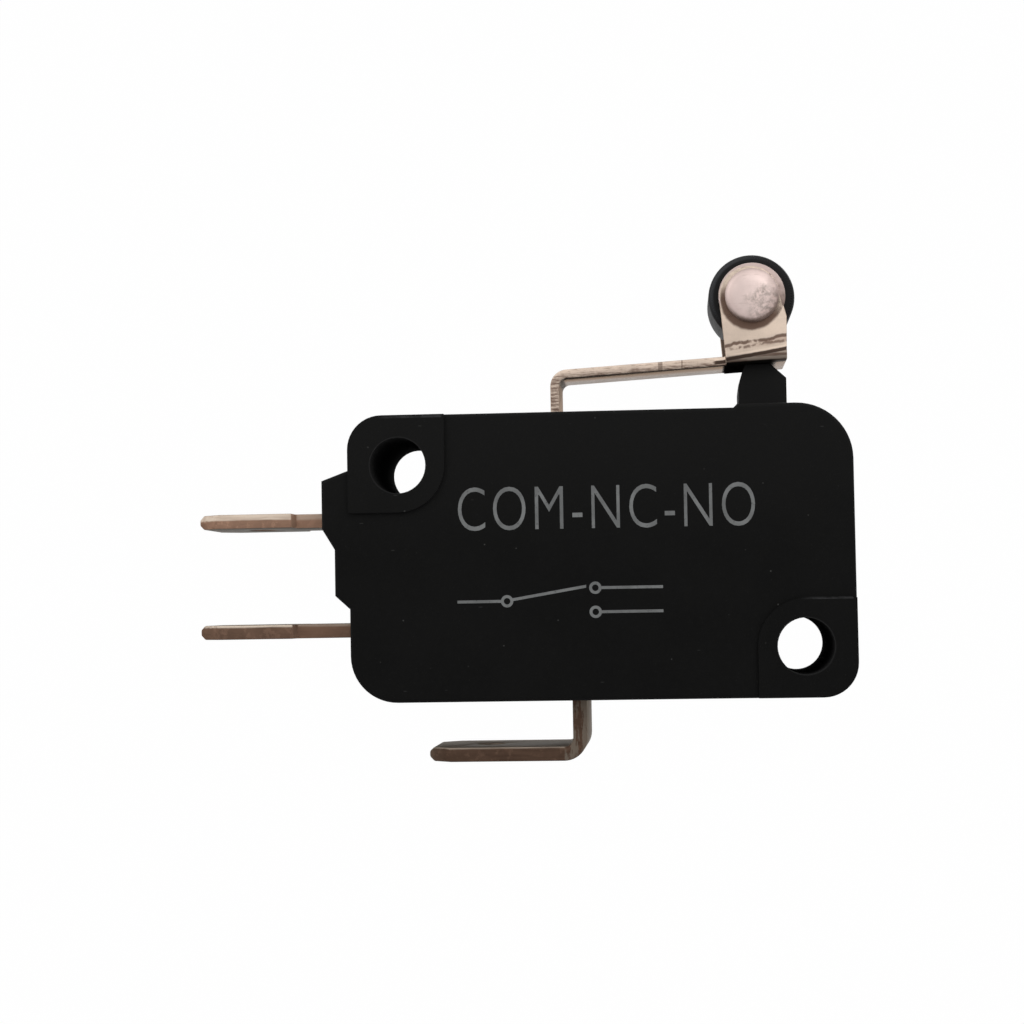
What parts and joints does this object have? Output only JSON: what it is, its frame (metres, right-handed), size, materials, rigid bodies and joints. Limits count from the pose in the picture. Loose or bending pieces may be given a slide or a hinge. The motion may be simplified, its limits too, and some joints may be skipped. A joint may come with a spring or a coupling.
{
  "type": "lever micro switch",
  "caption": "Snap-action switch with a black case, a hinged steel lever carrying a roller, flat side tabs and an angled common tab.",
  "frame": {"origin": "centre of the lower mounting hole, at the middle of the case's depth", "axes": "+X along the case toward the plunger end, +Z from the case toward the lever, marked face toward -Y"},
  "size_m": [0.0368, 0.0104, 0.0281],
  "materials": {
    "housing": "moulded thermoset, fine matte",
    "plunger": "moulded, fine matte",
    "lever_steel": "rolled strip, satin",
    "pin_steel": "nickel plated, satin",
    "roller": "self-lubricating resin, smooth",
    "terminal": "tinned strip, dull",
    "contact": "silver alloy, satin",
    "copper_alloy": "rolled copper alloy",
    "spring_steel": "drawn wire"
  },
  "bodies": {
    "housing": {"case": "housing", "cover": "housing", "nc_terminal": "terminal", "no_terminal": "terminal", "com_terminal": "terminal", "nc_contact": "contact", "no_contact": "contact"},
    "lever": {"actuator_lever": "lever_steel", "roller_pin": "pin_steel"},
    "roller_body": {"roller": "roller"},
    "plunger_body": {"plunger": "plunger"},
    "trip_body": {"trip_lever": "copper_alloy"},
    "spring_body": {"snap_spring": "spring_steel"},
    "contact_body": {"contact_arm": "copper_alloy", "moving_contact": "contact"}
  },
  "joints": [
    {"name": "lever_hinge", "type": "hinge", "parent": "housing", "child": "lever", "pos_m": [-0.0136, 0, 0.0123], "axis": [0, 1, 0], "range_deg": [0, 9.8], "stiffness_Nm_per_rad": 0.02, "springref_deg": -24.06},
    {"name": "roller_spin", "type": "hinge", "parent": "lever", "child": "roller_body", "pos_m": [-0.00245, 0, 0.0195], "axis": [0, 1, 0], "continuous": true},
    {"name": "plunger_slide", "type": "slide", "parent": "housing", "child": "plunger_body", "axis": [0, 0, -1], "range_m": [0, 0.002]},
    {"name": "trip_hinge", "type": "hinge", "parent": "housing", "child": "trip_body", "pos_m": [-0.01205, 0, 0.005], "axis": [0, 1, 0], "range_deg": [0, 11.3]},
    {"name": "contact_hinge", "type": "hinge", "parent": "housing", "child": "contact_body", "pos_m": [-0.01285, 0, 0.00432], "axis": [0, -1, 0], "range_deg": [0, 7.23]},
    {"name": "spring_hinge", "type": "hinge", "parent": "trip_body", "child": "spring_body", "pos_m": [-0.0054, 0, 0.0052], "axis": [0, -1, 0], "range_deg": [0, 7.33]}
  ],
  "couplings": [
    {"joint": "plunger_slide", "follows": "lever_hinge", "m_per_rad": 0.011693},
    {"joint": "trip_hinge", "follows": "lever_hinge", "ratio": 1.153},
    {"joint": "contact_hinge", "follows": "lever_hinge", "ratio": 0.73816},
    {"joint": "spring_hinge", "follows": "lever_hinge", "ratio": 0.74778}
  ]
}
